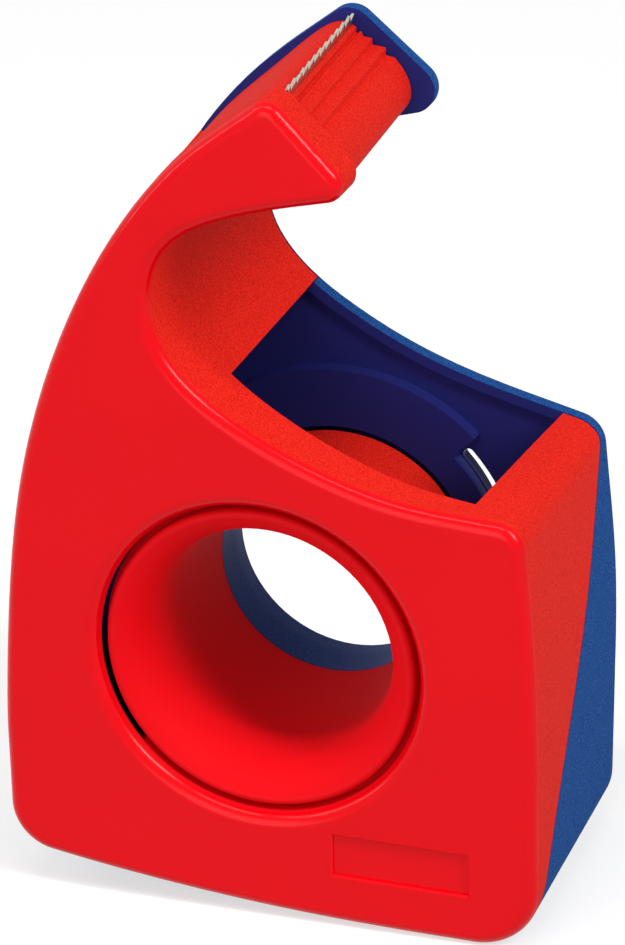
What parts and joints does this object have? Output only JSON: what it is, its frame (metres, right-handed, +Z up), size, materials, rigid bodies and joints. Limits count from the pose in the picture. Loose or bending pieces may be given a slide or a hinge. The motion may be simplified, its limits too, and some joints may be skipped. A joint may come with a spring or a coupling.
{
  "type": "handheld tape dispenser",
  "caption": "Handheld dispenser for narrow adhesive tape: two moulded half shells, a hub with a trumpet mouth, and a beak with a serrated steel cutter.",
  "frame": {"origin": "on the hub axis, midway along the hub, where the middle of the tape roll sits", "axes": "+Y along the hub axis from the front plate to the rear plate, +Z up towards the beak and cutter, +X the way the beak points"},
  "size_m": [0.052, 0.028, 0.0809],
  "materials": {
    "front_plastic": "glossy red, fine spark texture on the walls",
    "rear_plastic": "satin blue",
    "steel": "plain rolled strip"
  },
  "bodies": {
    "front": {"front_shell": "front_plastic", "cutter_blade": "steel"},
    "rear": {"rear_shell": "rear_plastic"}
  },
  "joints": [
    {"name": "cover_slide", "type": "slide", "parent": "front", "child": "rear", "axis": [0, 1, 0], "range_m": [0, 0.045]}
  ]
}
